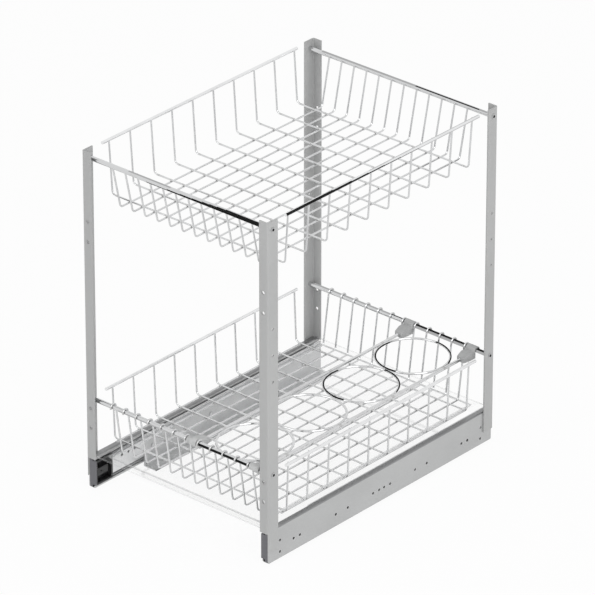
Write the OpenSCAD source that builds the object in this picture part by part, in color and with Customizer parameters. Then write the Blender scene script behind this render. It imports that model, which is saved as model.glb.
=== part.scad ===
// Pull-out cabinet basket: four corner posts on a pair of full-extension floor slides,
// a welded wire basket at the top, a lift-out wire basket with a bottle rack at the
// bottom, and a drip tray between the slides. Millimetres, +Z up.
// X runs left to right, the front that is pulled faces -Y, and the origin is on the
// cabinet floor under the middle of the unit.

/* [Overall] */

// Width over the outside of the posts
unit_w = 352; // [300:1:450]
// Depth over the outside of the posts
unit_d = 500; // [450:1:600]
// Height of the post tops above the cabinet floor
unit_h = 549; // [500:1:700]

/* [Posts] */

// Sheet thickness of the posts
post_t = 2; // [1.5:0.1:2.5]
// Width of the post flange that faces the front or the back
post_face_w = 16.5; // [14:0.5:22]
// Width of the post flange that faces the side
post_side_w = 21; // [19:0.5:28]
// Outside radius of the post's bend
post_bend_r = 3; // [2.6:0.1:4]
// Height of the lower end of the side flanges
post_foot_z = 23; // [20:1:27]
// Diameter of the door fixing holes in the front and back flanges
door_hole_d = 5.5; // [4:0.1:6.5]
// Distance between the two holes of a door fixing pair
door_hole_gap = 32; // [24:1:40]
// Height of the middle of the lower door fixing pair
door_low_z = 120; // [95:1:120]
// Height of the middle of the upper door fixing pair
door_high_z = 422; // [400:1:440]
// Diameter of the spare holes in the side flanges
spare_hole_d = 4; // [3:0.1:5]
// Height of the lowest spare hole
spare_hole_z = 296; // [280:1:320]
// Distance from one spare hole to the next
spare_hole_gap = 42; // [20:1:45]

/* [Slides] */

// Height of the slide above the cabinet floor
slide_z = 3; // [2.5:0.5:5]
// Height of the outer slide rail
slide_h = 53; // [50:1:56]
// Sheet thickness of the outer rail
outer_t = 1.6; // [1.4:0.1:1.8]
// Sheet thickness of the middle rail
middle_t = 1.4; // [1.2:0.1:1.5]
// Sheet thickness of the inner rail that stays in the cabinet
inner_t = 1.4; // [1.2:0.1:1.5]
// Diameter of the balls between the outer and the middle rail
outer_ball_d = 4.8; // [4.6:0.1:5]
// Diameter of the balls between the middle and the inner rail
inner_ball_d = 4; // [3.8:0.1:4.2]
// Balls in each row
ball_n = 8; // [4:1:10]
// Sheet thickness of the ball cages
cage_t = 0.7; // [0.6:0.05:0.8]
// Length of the black stops in the front ends of the outer rails
stop_len = 35; // [25:1:45]
// Diameter of the holes in the slide rails
rail_hole_d = 4.4; // [3:0.1:5]
// Radius of the lower corners of the outer rail and its stop
rail_corner_r = 4; // [2:0.5:6]

/* [Floor brackets] */

// Sheet thickness of the floor brackets
bracket_t = 1.5; // [1.2:0.1:2]
// Width of the bracket foot that is screwed to the cabinet floor
foot_w = 24; // [15:0.5:24]
// Height of the bracket flange that carries the inner rail
bracket_h = 52; // [33:1:52]
// Distance from the front end of the inner rail back to the bracket
bracket_start = 67; // [60:1:90]
// Diameter of the screw holes in the feet
foot_hole_d = 4.6; // [3.5:0.1:5.5]
// Distance between the front and the back screw hole of a foot
foot_hole_gap = 260; // [200:1:270]
// Shank diameter of the bracket rivets
rivet_d = 4; // [3:0.1:4.8]

/* [Cross rods] */

// Diameter of the four rods between the posts
rod_d = 7; // [6:0.5:9]
// Distance of the rods from the outside of the posts, along the depth
rod_inset = 10; // [9:0.5:11]
// Distance of the upper rods below the post tops
rod_drop = 13; // [10:1:20]
// Height of the lower rods
rod_low_z = 147; // [140:1:160]
// Shank diameter of the screws that hold the rods
screw_d = 4; // [3:0.1:4.5]
// Head diameter of the rod screws
screw_head_d = 6.5; // [5.5:0.1:8]

/* [Wire baskets] */

// Diameter of the basket wires
wire_d = 2.8; // [2.2:0.1:3.2]
// Diameter of the basket rims
rim_d = 5; // [4:0.1:6]
// Radius of the wire bends, to the middle of the wire
bend_r = 6; // [4:0.5:10]
// Distance of the rim ends from the outside of the posts
rim_gap = 40; // [32:1:50]
// Number of wires across the width
cross_n = 10; // [6:1:12]
// Number of wires along the depth
long_n = 12; // [8:1:12]
// Distance of the outermost lengthwise wires from the outside of the posts
long_inset = 44.5; // [40:0.5:50]
// Depth of the upper basket from the rim down to the cross wires
basket_depth = 82; // [60:1:95]
// Free height between the tray rim and the underside of the lower basket
under_gap = 5.6; // [3:0.1:12]
// Lean of the upper basket's side walls, degrees
high_side_lean = 4; // [0:0.5:10]
// Lean of the upper basket's end walls, degrees
high_end_lean = 12.5; // [5:0.5:16]
// Lean of the lower basket's side walls, degrees
low_side_lean = 2.5; // [0:0.5:6]
// Lean of the lower basket's end walls, degrees
low_end_lean = 8.5; // [5:0.5:12]

/* [Bottle rack] */

// Diameter of the two rack rails
rack_rail_d = 5; // [4:0.1:6]
// Distance of the rack rails below the lower rods
rack_drop = 7; // [5:0.5:8]
// Wire diameter of the bottle rings
ring_wire_d = 3.6; // [3:0.1:4.2]
// Distance aimed at between the rack rails; whole spaces of the basket wires are used
rack_span = 120; // [90:1:130]
// Width of the plastic clips
clip_w = 18; // [10:0.5:18]

/* [Drip tray] */

// Wall thickness of the drip tray
tray_t = 1.5; // [1:0.1:2]
// Height of the tray floor's top surface above the cabinet floor
tray_floor_z = 15; // [10:1:20]
// Width of the tray's front and back rims
tray_end_rim = 13; // [11:1:16]
// Width of the tray's side rims
tray_side_rim = 5; // [4:0.5:8]
// How far the end walls slope inward from rim to floor
tray_end_slope = 44; // [20:1:60]
// How far the side walls slope inward from rim to floor
tray_side_slope = 20; // [5:1:30]

/* [Hidden] */

$fn = 48;

// clearances
touch = 0.05;       // between pieces that rest on or are welded to each other
run_gap = 0.05;     // between a ball and the rail it rolls in
slide_gap = 0.3;    // between pieces that pass each other
bend_thin = 0.02;   // how much thinner a wire is in its bends
bend_reach = 0.1;   // how far a bend reaches into the straight wire on each side
cut = 1;            // how far a cutting shape reaches past the piece it cuts
tray_play = 1.5;    // between the tray and the posts around it

// colours
paint_grey = [0.72, 0.73, 0.73];
zinc_light = [0.74, 0.75, 0.76];
zinc_dark = [0.42, 0.43, 0.45];
chrome = [0.80, 0.81, 0.82];
steel_ball = [0.66, 0.67, 0.68];
plastic_black = [0.06, 0.06, 0.06];
plastic_grey = [0.58, 0.59, 0.60];
plastic_clear = [0.93, 0.94, 0.95];

// overall
half_w = unit_w / 2;
half_d = unit_d / 2;

// slide section; u is measured inboard from the outer face of the outer rail
slide_x = half_w - post_t - touch;
slide_mid = slide_z + slide_h / 2;
rail_front = -half_d + post_t + touch;
rail_back = half_d - post_t - touch;
outer_ball_u = 7.6;
outer_ball_v = slide_h / 2 - outer_t - outer_ball_d / 2 - run_gap;
outer_race_r = outer_ball_d / 2 + run_gap;
web_gap = 2;
middle_u = outer_t + web_gap;
middle_under = outer_ball_v - outer_race_r - middle_t;
inner_ball_u = 9.6;
inner_race_r = inner_ball_d / 2 + run_gap;
inner_ball_v = middle_under - inner_race_r;
inner_under = inner_ball_v - inner_race_r - inner_t;
inner_web_u = 14;
race_lip = 20;            // degrees that a rail wraps past the middle of its ball row
outer_corner = 2.5;       // outside radius of the outer rail's long bends
inner_corner = 2.4;       // outside radius of the inner rail's long bends
cage_beside = 0.25;       // between the inner cage and the middle rail's web
cage_arm_short = 0.3;     // how far the cage arms stay behind the balls' far side
face_foot_z = slide_mid + outer_ball_v + cage_t / 2 + 2 * slide_gap;

// holes of the outer rail, along the depth and, from the slide's middle, in height
hole_from_middle = [5.5, 19, 75, 101.5];
hole_from_end = [56.5, 70];
pair_from_end = 27;
pair_half = 9.4;
hole_row_v = -5.7;

// latch holes of the inner rail, from its front end, and rivets from the bracket's ends
latch_from_front = [20, 34, 48];
latch_hole_v = 9;
rivet_from_front = 18;
rivet_from_back = 40;
rivet_below_mid = 1;
foot_hole_off = 2;        // how far the foot's holes lie inboard of its middle

// where the inner members start and end along the depth, with the unit pushed in
travel = unit_d;
stop_gap = 0.5;           // between a front stop and the rails behind it
middle_short = 25;        // how much the middle rail ends before the inner one
outer_cage_spare = 30;    // room left for the cages at the ends of their runs
inner_cage_spare = 35;
inner_front = rail_front + stop_len + stop_gap;
inner_back = half_d - post_t;
middle_back = inner_back - middle_short;
outer_cage_mid = (inner_front + rail_back) / 2;
outer_cage_len = rail_back - inner_front - travel / 2 - outer_cage_spare;
inner_cage_mid = (inner_front + middle_back) / 2;
inner_cage_len = middle_back - inner_front - travel / 2 - inner_cage_spare;

tray_rim_z = slide_z + slide_h + touch;

// rods and baskets
rod_y = half_d - rod_inset;
rod_end = half_w - post_t - touch;
rim_x = half_w - rim_d / 2;
rod_high_z = unit_h - rod_drop;
rim_high_z = unit_h - rim_d / 2;
rim_over_rod = 2;         // the lower rims lie this much above the lower rods
rim_low_z = rod_low_z + rim_over_rod;
rim_len = unit_d - 2 * rim_gap;
cross_margin = 10;        // from the rim ends to the first and last cross wire
edge_wire_over = 5;       // how far the edge wires pass the first and last cross wire
long_pitch = (unit_w - 2 * long_inset) / (long_n - 1);
cross_pitch = (rim_len - 2 * cross_margin) / (cross_n - 1);
weld = rod_d / 2 + wire_d / 2 + touch;
rim_weld = rim_d / 2 + wire_d / 2 + touch;
layer = wire_d + touch;
high_floor_z = rim_high_z - basket_depth;
low_floor_z = tray_rim_z + tray_t + under_gap + wire_d / 2 + layer;
low_depth = rim_low_z - low_floor_z;
hook_r = rod_d / 2 + slide_gap + wire_d / 2;
hook_tip = 2;             // straight end of a hook, past its bend

// bottle rack
rack_z = rod_low_z - rack_drop;
rack_steps = round(rack_span / long_pitch);
rack_right_x = half_w - long_inset + long_pitch / 2;
rack_left_x = rack_right_x - rack_steps * long_pitch;
rack_mid_x = (rack_left_x + rack_right_x) / 2;
ring_r = (rack_right_x - rack_left_x - rack_rail_d - ring_wire_d) / 2 - touch;
ring_out_r = ring_r + ring_wire_d / 2;
ring_gap = 0.6;
leg_at_rack = hook_r / cos(low_end_lean) + rack_drop * tan(low_end_lean);
ring_limit = rod_y - leg_at_rack - wire_d / 2 - 2 * slide_gap;
ring_n = floor((2 * ring_limit + ring_gap) / (2 * ring_out_r + ring_gap));
ring_pitch = ring_n > 1 ? 2 * (ring_limit - ring_out_r) / (ring_n - 1) : 0;
clip_wall = 2.2;
clip_reach = 28;          // from the rod's axis to the inner end of a clip
clip_hold = 6;            // length of a rack rail that a clip holds
clip_under = 2;           // wall of a clip under its rail
clip_leg = 3;             // how far the saddle reaches down beside the rod
clip_over = 1;            // how far a clip's block rises over the rod's axis
clip_in = rod_y - clip_reach;
rack_rail_end = clip_in + clip_hold;

// drip tray
tray_beside = 6.5;        // between the tray's side rims and the bracket flanges
tray_x = slide_x - inner_web_u - bracket_t - tray_beside;
tray_ear_x = half_w - post_t - tray_play;
tray_y = half_d - post_t - tray_play;
tray_ear_len = 30;        // length of the ears that reach over the slides

// ---------- small shapes that several pieces share ----------

// puts children, drawn for the right side, on the named side
module side(name) {
  if (name == "left")
    mirror([1, 0, 0])
      children();
  else
    children();
}

// puts children, drawn for the front, at the named end
module end_of(name) {
  if (name == "back")
    mirror([0, 1, 0])
      children();
  else
    children();
}

// extrudes an outline in the X-Z plane along the depth
module along_depth(y0, y1) {
  translate([0, y1, 0])
    rotate([90, 0, 0])
      linear_extrude(height = y1 - y0)
        children();
}

// a round bar along X
module bar_x(x0, x1, d) {
  translate([x0, 0, 0])
    rotate([0, 90, 0])
      cylinder(d = d, h = x1 - x0);
}

// a round bar along Y
module bar_y(y0, y1, d) {
  translate([0, y0, 0])
    rotate([-90, 0, 0])
      cylinder(d = d, h = y1 - y0);
}

// quarter-ring and longer arcs of sheet, from angle a0 to a1
module arc(r_in, t, a0, a1) {
  far = 3 * (r_in + t);
  mid = (a0 + a1) / 2;
  intersection() {
    difference() {
      circle(r = r_in + t);
      circle(r = r_in);
    }
    polygon([
      [0, 0],
      far * [cos(a0), sin(a0)],
      far * [cos(mid), sin(mid)],
      far * [cos(a1), sin(a1)],
    ]);
  }
}

// draws children at the top and, mirrored, at the bottom of a rail section
module top_and_bottom() {
  children();
  mirror([0, 1])
    children();
}

// ---------- bent wire ----------

function run(length) = ["run", length];
function bend(r, angle) = ["bend", r, angle];

// A wire that starts at the origin along +X and follows the steps one after another.
// A positive bend turns it towards +Y, a negative one towards -Y. A bend is a touch
// thinner than the straight wire, as bent wire is, and reaches a little way into it.
module wire(steps, d, i = 0) {
  if (i < len(steps)) {
    if (steps[i][0] == "run") {
      rotate([0, 90, 0])
        cylinder(d = d, h = steps[i][1]);
      translate([steps[i][1], 0, 0])
        wire(steps, d, i + 1);
    } else {
      r = steps[i][1];
      angle = steps[i][2];
      out = angle > 0 ? r : -r;
      more = bend_reach / r * 180 / PI;
      translate([0, out, 0]) {
        rotate([0, 0, (angle > 0 ? -90 : 90 + angle) - more])
          rotate_extrude(angle = abs(angle) + 2 * more)
            translate([r, 0])
              circle(d = d - bend_thin);
        rotate([0, 0, angle])
          translate([0, -out, 0])
            wire(steps, d, i + 1);
      }
    }
  }
}

// a wire with a straight middle, flat to each side, that goes on in the same steps both ways
module both_ways(flat, steps, d) {
  bar_x(-flat, flat, d);
  for (hand = ["left", "right"])
    side(hand)
      translate([flat, 0, 0])
        wire(steps, d);
}

// length of a leg that leans out by lean and ends rise above the floor it bends up from
function leg_len(rise, lean) = (rise - bend_r * (1 - sin(lean))) / cos(lean);

// half the flat length between the bends, for a leg of that length that ends at distance out
function flat_len(out, leg, lean) = out - leg * sin(lean) - bend_r * cos(lean);

// ---------- posts ----------

// one L-shaped post, drawn for the front right corner
module post_shape() {
  difference() {
    intersection() {
      linear_extrude(height = unit_h)
        difference() {
          post_outline(0);
          post_outline(post_t);
        }
      union() {
        translate([0, -half_d - cut, face_foot_z])
          cube([unit_w, unit_d, unit_h]);
        translate([half_w - post_t, -half_d - cut, post_foot_z])
          cube([post_t + cut, unit_d, unit_h]);
      }
    }
    for (mid = [door_low_z, door_high_z])
      for (dz = [-1, 1])
        translate([door_hole_x(), -half_d - cut, mid + dz * door_hole_gap / 2])
          bar_y(0, post_t + 2 * cut, door_hole_d);
    for (z = [rod_low_z, rod_high_z])
      translate([half_w, -rod_y, z])
        bar_x(-post_t - cut, cut, screw_d + 2 * touch);
    for (i = [0 : 2])
      translate([half_w, -rod_y, spare_hole_z + i * spare_hole_gap])
        bar_x(-post_t - cut, cut, spare_hole_d);
  }
}

function door_hole_x() = half_w - post_face_w / 2 - post_t / 2;

// outer outline of the post, or with inset its inside, drawn in plan
module post_outline(inset) {
  r = post_bend_r - inset;
  x1 = half_w - inset;
  y0 = -half_d + inset;
  over = inset > 0 ? cut : 0;
  translate([x1 - r, y0 + r])
    circle(r = r);
  translate([half_w - post_face_w - over, y0])
    square([x1 - r - half_w + post_face_w + over, post_side_w - inset + over]);
  translate([half_w - post_face_w - over, y0 + r])
    square([x1 - half_w + post_face_w + over, post_side_w - inset - r + over]);
}

module post(end, hand) {
  color(paint_grey)
    side(hand)
      end_of(end)
        post_shape();
}

// ---------- slides ----------

// places a rail section, drawn with u inboard and v up, on the right slide
module slide_section(y0, y1) {
  along_depth(y0, y1)
    translate([slide_x, slide_mid])
      mirror([1, 0])
        children();
}

module outer_section() {
  corner = outer_corner;
  half = slide_h / 2;
  translate([0, -half + corner])
    square([outer_t, slide_h - 2 * corner]);
  top_and_bottom() {
    translate([corner, half - corner])
      arc(corner - outer_t, outer_t, 90, 180);
    translate([corner, half - outer_t])
      square([outer_ball_u - corner, outer_t]);
    translate([outer_ball_u, outer_ball_v])
      arc(outer_race_r, outer_t, -race_lip, 90);
  }
}

module middle_section() {
  ridge = outer_ball_v - outer_race_r * sin(race_lip);
  translate([middle_u, -ridge])
    square([middle_t, 2 * ridge]);
  top_and_bottom() {
    translate([outer_ball_u, outer_ball_v])
      arc(outer_race_r, middle_t, 180 + race_lip, 270);
    translate([outer_ball_u, middle_under])
      square([inner_ball_u - outer_ball_u, middle_t]);
    translate([inner_ball_u, inner_ball_v])
      arc(inner_race_r, middle_t, -race_lip, 90);
  }
}

module inner_section() {
  corner = inner_corner;
  top_and_bottom() {
    translate([inner_ball_u, inner_ball_v])
      arc(inner_race_r, inner_t, 180 + race_lip, 270);
    translate([inner_ball_u, inner_under])
      square([inner_web_u - corner - inner_ball_u, inner_t]);
    translate([inner_web_u - corner, inner_under + inner_t - corner])
      arc(corner - inner_t, inner_t, 0, 90);
  }
  translate([inner_web_u - inner_t, -inner_under - inner_t + corner])
    square([inner_t, 2 * (inner_under + inner_t - corner)]);
}

// the outer rail's side view: a bar with its two lower corners rounded
module rail_side_view(y0, y1) {
  r = rail_corner_r;
  deep = inner_web_u + post_t + 2 * cut;
  translate([half_w - deep, 0, 0])
    rotate([90, 0, 90])
      linear_extrude(height = deep) {
        translate([y0 + r, slide_z + r])
          circle(r = r);
        translate([y1 - r, slide_z + r])
          circle(r = r);
        translate([y0 + r, slide_z])
          square([y1 - y0 - 2 * r, slide_h + cut]);
        translate([y0, slide_z + r])
          square([y1 - y0, slide_h]);
      }
}

module web_hole(y, v) {
  translate([slide_x, y, slide_mid + v])
    bar_x(-outer_t - cut, cut, rail_hole_d);
}

module outer_rail(hand) {
  color(zinc_light)
    side(hand)
      difference() {
        intersection() {
          slide_section(rail_front, rail_back)
            outer_section();
          rail_side_view(rail_front, rail_back);
        }
        for (s = [-1, 1]) {
          for (y = hole_from_middle)
            web_hole(s * y, hole_row_v);
          for (y = hole_from_end)
            web_hole(s * (half_d - y), hole_row_v);
          for (t = [-1, 1])
            web_hole(s * (half_d - pair_from_end), hole_row_v + t * pair_half);
        }
      }
}

module middle_rail(hand) {
  color(zinc_dark)
    side(hand)
      slide_section(inner_front, middle_back)
        middle_section();
}

function rivet_y() =
  [inner_front + bracket_start + rivet_from_front, 0, inner_back - rivet_from_back];

module inner_rail(hand) {
  color(zinc_light)
    side(hand)
      difference() {
        slide_section(inner_front, inner_back)
          inner_section();
        for (y = rivet_y())
          translate([slide_x - inner_web_u, y, rivet_z()])
            bar_x(-cut, inner_t + cut, rivet_d + 2 * touch);
        for (y = latch_from_front)
          translate([slide_x - inner_web_u, inner_front + y, slide_mid + latch_hole_v])
            bar_x(-cut, inner_t + cut, rail_hole_d);
      }
}

function rivet_z() = slide_mid - rivet_below_mid;

// U-shaped ball cage: a web at u and two arms at v, notched for the balls
module cage_shape(u, ball_u, ball_v, ball_d, mid, length) {
  reach_u = ball_u + ball_d / 2 - cage_arm_short - u;
  difference() {
    slide_section(mid - length / 2, mid + length / 2)
      difference() {
        translate([u, -ball_v - cage_t / 2])
          square([reach_u, 2 * ball_v + cage_t]);
        translate([u + cage_t, -ball_v + cage_t / 2])
          square([reach_u, 2 * ball_v - cage_t]);
      }
    for (y = ball_rows(mid, length))
      translate([slide_x - ball_u, y, slide_mid - ball_v - ball_d])
        cylinder(d = ball_d + 2 * run_gap, h = 2 * (ball_v + ball_d));
  }
}

function ball_rows(mid, length) =
  [for (i = [0 : ball_n - 1]) mid + length * ((i + 0.5) / ball_n - 0.5)];

module outer_cage(hand) {
  color(zinc_dark)
    side(hand)
      cage_shape(outer_t + (web_gap - cage_t) / 2, outer_ball_u, outer_ball_v,
        outer_ball_d, outer_cage_mid, outer_cage_len);
}

module inner_cage(hand) {
  color(zinc_dark)
    side(hand)
      cage_shape(middle_u + middle_t + cage_beside, inner_ball_u, inner_ball_v,
        inner_ball_d, inner_cage_mid, inner_cage_len);
}

module balls(hand, u, v, d, mid, length) {
  color(steel_ball)
    side(hand)
      for (y = ball_rows(mid, length))
        for (s = [-1, 1])
          translate([slide_x - u, y, slide_mid + s * v])
            sphere(d = d);
}

module outer_balls(hand) {
  balls(hand, outer_ball_u, outer_ball_v, outer_ball_d, outer_cage_mid, outer_cage_len);
}

module inner_balls(hand) {
  balls(hand, inner_ball_u, inner_ball_v, inner_ball_d, inner_cage_mid, inner_cage_len);
}

// plastic block that fills the front end of the outer rail and stops the middle rail; on
// its inboard side a pocket leaves a tongue with the hole for the latch pin
module front_stop(hand) {
  wide = outer_ball_v - outer_race_r;
  tall = slide_h / 2 - outer_corner;
  inboard_x = slide_x - inner_web_u;
  lip_short = 1;      // how much the lips under the rail's races stay short of the balls
  wall = 3;           // around the pocket
  pocket_deep = 9;
  tongue_h = 12;
  tongue_low = 1;     // how far the tongue lies below the pocket's rim
  tongue_free = 6;    // gap at the tongue's free end
  pin_hole_d = 3;
  color(plastic_black)
    side(hand)
      difference() {
        intersection() {
          slide_section(rail_front, rail_front + stop_len) {
            translate([outer_t + touch, -wide])
              square([inner_web_u - outer_t - touch, 2 * wide]);
            translate([outer_t + touch, -tall])
              square([outer_ball_u - outer_t - lip_short, 2 * tall]);
          }
          rail_side_view(rail_front, rail_back);
        }
        difference() {
          translate([inboard_x - cut, rail_front + wall, slide_mid - wide + wall])
            cube([pocket_deep + cut, stop_len - 2 * wall, 2 * (wide - wall)]);
          translate([inboard_x + tongue_low, rail_front, slide_mid - tongue_h / 2])
            cube([pocket_deep, stop_len - wall - tongue_free, tongue_h]);
        }
        translate([inboard_x, rail_front + stop_len / 3, slide_mid])
          bar_x(-cut, pocket_deep, pin_hole_d);
      }
}

// ---------- floor brackets ----------

module floor_bracket(hand) {
  x1 = slide_x - inner_web_u - touch;
  color(zinc_light)
    side(hand)
      difference() {
        along_depth(inner_front + bracket_start, inner_back) {
          translate([x1 - bracket_t, 0])
            square([bracket_t, bracket_h]);
          translate([x1 - foot_w, 0])
            square([foot_w, bracket_t]);
        }
        for (y = rivet_y())
          translate([x1 - bracket_t, y, rivet_z()])
            bar_x(-cut, bracket_t + cut, rivet_d + 2 * touch);
        for (s = [-1, 1])
          translate([foot_hole_x(), s * foot_hole_gap / 2, -cut])
            cylinder(d = foot_hole_d, h = bracket_t + 2 * cut);
      }
}

function foot_hole_x() = slide_x - inner_web_u - touch - foot_w / 2 - foot_hole_off;

module bracket_rivets() {
  head_d = rivet_d + 3;
  head_h = 1;
  web_in = slide_x - inner_web_u + inner_t + touch;
  flange_out = slide_x - inner_web_u - touch - bracket_t - touch;
  color(zinc_light)
    for (hand = ["left", "right"])
      side(hand)
        for (y = rivet_y())
          translate([0, y, rivet_z()]) {
            bar_x(flange_out - head_h, web_in + head_h, rivet_d);
            bar_x(flange_out - head_h, flange_out, head_d);
            bar_x(web_in, web_in + head_h, head_d);
          }
}

// ---------- rods ----------

module rod(end, z) {
  bore_deep = 12;
  color(chrome)
    end_of(end)
      translate([0, -rod_y, z])
        difference() {
          bar_x(-rod_end, rod_end, rod_d);
          for (hand = ["left", "right"])
            side(hand)
              bar_x(rod_end - bore_deep, rod_end + cut, screw_d + 2 * touch);
        }
}

module rod_screws() {
  shank = 10;
  head_h = 1.4;
  socket_d = 3;
  socket_deep = 0.9;
  color(zinc_light)
    for (hand = ["left", "right"], end = ["front", "back"], z = [rod_low_z, rod_high_z])
      side(hand)
        end_of(end)
          translate([half_w + touch, -rod_y, z])
            difference() {
              union() {
                bar_x(-post_t - shank, 0, screw_d);
                bar_x(0, head_h, screw_head_d);
              }
              translate([head_h - socket_deep, 0, 0])
                rotate([0, 90, 0])
                  cylinder(d = socket_d, h = socket_deep + cut, $fn = 6);
            }
}

// ---------- wire baskets ----------

module rims(z) {
  color(chrome)
    for (s = [-1, 1])
      translate([s * rim_x, 0, z])
        bar_y(-rim_len / 2, rim_len / 2, rim_d);
}

// U-shaped wires across the width, hung on the inner sides of the two rims
module cross_wires(rim_z, floor_z, lean) {
  leg = leg_len(rim_z - floor_z, lean);
  flat = flat_len(rim_x - rim_weld / cos(lean), leg, lean);
  color(chrome)
    for (i = [0 : cross_n - 1])
      translate([0, (i - (cross_n - 1) / 2) * cross_pitch, floor_z])
        rotate([90, 0, 0])
          both_ways(flat, [bend(bend_r, 90 - lean), run(leg)], wire_d);
}

// puts each lengthwise wire, drawn in the X-Y plane, upright at its place
module each_long_wire(floor_z) {
  for (i = [0 : long_n - 1])
    translate([(i - (long_n - 1) / 2) * long_pitch, 0, floor_z])
      rotate([90, 0, 90])
        children();
}

module upper_long_wires() {
  lean = high_end_lean;
  floor_z = high_floor_z - layer;
  leg = leg_len(rod_high_z - floor_z, lean);
  flat = flat_len(rod_y - weld / cos(lean), leg, lean);
  color(chrome)
    each_long_wire(floor_z)
      both_ways(flat, [bend(bend_r, 90 - lean), run(leg)], wire_d);
}

// the lower wires end in hooks that drop over the lower rods
module lower_long_wires() {
  lean = low_end_lean;
  floor_z = low_floor_z - layer;
  leg = leg_len(rod_low_z + hook_r * sin(lean) - floor_z, lean);
  flat = flat_len(rod_y - hook_r * cos(lean), leg, lean);
  steps = [bend(bend_r, 90 - lean), run(leg), bend(hook_r, lean - 180), run(hook_tip)];
  color(chrome)
    each_long_wire(floor_z)
      both_ways(flat, steps, wire_d);
}

// one straight wire under the bends along each long side of the lower basket
module lower_edge_wires() {
  low_x = rim_x - rim_weld / cos(low_side_lean) - low_depth * tan(low_side_lean);
  span = rim_len / 2 - cross_margin + edge_wire_over;
  color(chrome)
    for (s = [-1, 1])
      translate([s * (low_x - bend_r), 0, low_floor_z - layer])
        bar_y(-span, span, wire_d);
}

// ---------- bottle rack ----------

module rack_rails() {
  color(chrome)
    for (x = [rack_left_x, rack_right_x])
      translate([x, 0, rack_z])
        bar_y(-rack_rail_end, rack_rail_end, rack_rail_d);
}

module rack_rings() {
  color(chrome)
    for (i = [0 : ring_n - 1])
      translate([rack_mid_x, (i - (ring_n - 1) / 2) * ring_pitch, rack_z])
        rotate_extrude()
          translate([ring_r, 0])
            circle(d = ring_wire_d);
}

// clip that drops over a lower rod and holds the end of a rack rail
module clip_shape() {
  saddle = rod_d / 2 + slide_gap;
  outer = saddle + clip_wall;
  socket_r = rack_rail_d / 2 + touch;
  foot = rack_z - socket_r - clip_under;
  difference() {
    rotate([90, 0, 90])
      translate([0, 0, -clip_w / 2])
        linear_extrude(height = clip_w)
          difference() {
            union() {
              translate([-rod_y, rod_low_z])
                circle(r = outer);
              translate([-rod_y - outer, rod_low_z - clip_leg])
                square([2 * outer, clip_leg]);
              translate([-rod_y, foot])
                square([rod_y - clip_in, rod_low_z + clip_over - foot]);
            }
            translate([-rod_y, rod_low_z])
              circle(r = saddle);
            translate([-rod_y - saddle, foot - cut])
              square([2 * saddle, rod_low_z - foot + cut]);
          }
    translate([0, 0, rack_z])
      bar_y(-rack_rail_end - touch, 0, 2 * socket_r);
  }
}

module rack_clips() {
  color(plastic_grey)
    for (x = [rack_left_x, rack_right_x], end = ["front", "back"])
      translate([x, 0, 0])
        end_of(end)
          clip_shape();
}

// ---------- drip tray ----------

// a block whose four sides slope in towards its floor
module sloped_block(x, y, in_x, in_y, z0, z1) {
  intersection() {
    along_depth(-y - cut, y + cut)
      polygon([[-x, z1], [-x + in_x, z0], [x - in_x, z0], [x, z1]]);
    rotate([90, 0, 90])
      translate([0, 0, -x - cut])
        linear_extrude(height = 2 * (x + cut))
          polygon([[-y, z1], [-y + in_y, z0], [y - in_y, z0], [y, z1]]);
  }
}

module drip_tray() {
  open_x = tray_x - tray_side_rim;
  open_y = tray_y - tray_end_rim;
  rise = tray_rim_z + tray_t - tray_floor_z;
  side_run = tray_side_slope / rise;
  end_run = tray_end_slope / rise;
  color(plastic_clear)
    difference() {
      union() {
        sloped_block(open_x + tray_t, open_y + tray_t, tray_side_slope + tray_t * side_run,
          tray_end_slope + tray_t * end_run, tray_floor_z - tray_t, tray_rim_z + tray_t);
        translate([-tray_x, -tray_y, tray_rim_z])
          cube([2 * tray_x, 2 * tray_y, tray_t]);
        for (s = [0, 1])
          mirror([0, s, 0])
            translate([-tray_ear_x, -tray_y, tray_rim_z])
              cube([2 * tray_ear_x, tray_ear_len, tray_t]);
      }
      sloped_block(open_x + cut * side_run, open_y + cut * end_run,
        tray_side_slope + cut * side_run, tray_end_slope + cut * end_run,
        tray_floor_z, tray_rim_z + tray_t + cut);
    }
}

// ---------- the nodes ----------

post("front", "left");  // post_front_left
post("front", "right");  // post_front_right
post("back", "left");  // post_back_left
post("back", "right");  // post_back_right
outer_rail("left");  // outer_rail_left
outer_rail("right");  // outer_rail_right
middle_rail("left");  // middle_rail_left
middle_rail("right");  // middle_rail_right
inner_rail("left");  // inner_rail_left
inner_rail("right");  // inner_rail_right
floor_bracket("left");  // floor_bracket_left
floor_bracket("right");  // floor_bracket_right
bracket_rivets();
outer_cage("left");  // outer_cage_left
outer_cage("right");  // outer_cage_right
inner_cage("left");  // inner_cage_left
inner_cage("right");  // inner_cage_right
outer_balls("left");  // outer_balls_left
outer_balls("right");  // outer_balls_right
inner_balls("left");  // inner_balls_left
inner_balls("right");  // inner_balls_right
front_stop("left");  // front_stop_left
front_stop("right");  // front_stop_right
rod("front", rod_high_z);  // upper_front_rod
rod("back", rod_high_z);  // upper_back_rod
rod("front", rod_low_z);  // lower_front_rod
rod("back", rod_low_z);  // lower_back_rod
rod_screws();
rims(rim_high_z);  // upper_basket_rims
cross_wires(rim_high_z, high_floor_z, high_side_lean);  // upper_basket_cross_wires
upper_long_wires();  // upper_basket_long_wires
rims(rim_low_z);  // lower_basket_rims
cross_wires(rim_low_z, low_floor_z, low_side_lean);  // lower_basket_cross_wires
lower_long_wires();  // lower_basket_long_wires
lower_edge_wires();  // lower_basket_edge_wires
rack_rails();
rack_rings();
rack_clips();
drip_tray();
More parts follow.
